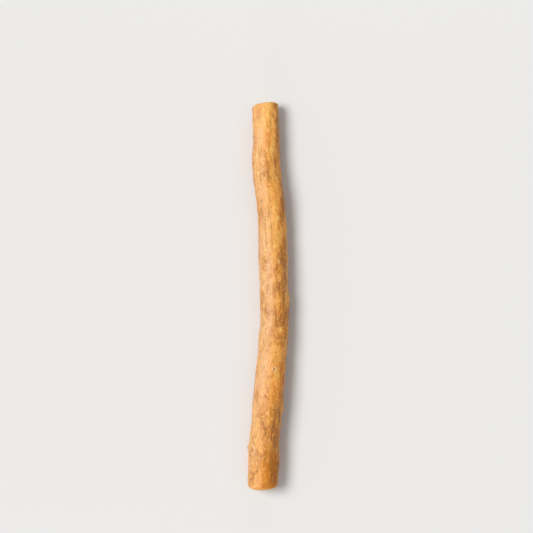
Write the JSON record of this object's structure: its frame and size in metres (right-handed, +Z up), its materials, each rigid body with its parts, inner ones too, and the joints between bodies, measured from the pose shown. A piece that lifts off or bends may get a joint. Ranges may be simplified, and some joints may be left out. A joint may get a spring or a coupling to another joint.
{
  "type": "miswak stick",
  "caption": "Slightly bent length of root for cleaning teeth, with its bark on, small knots and both ends cut across, lying on its side.",
  "frame": {"origin": "centre of the stick's box in plan, on the surface that it lies on", "axes": "+Y along the stick from its thick end to its thin end, +Z up, +X to the side that the middle bows towards"},
  "size_m": [0.0162, 0.1498, 0.0125],
  "materials": {
    "bark": "dry satin bark, golden tan with browner patches"
  },
  "bodies": {
    "root": {"stick": "bark"}
  },
  "joints": []
}
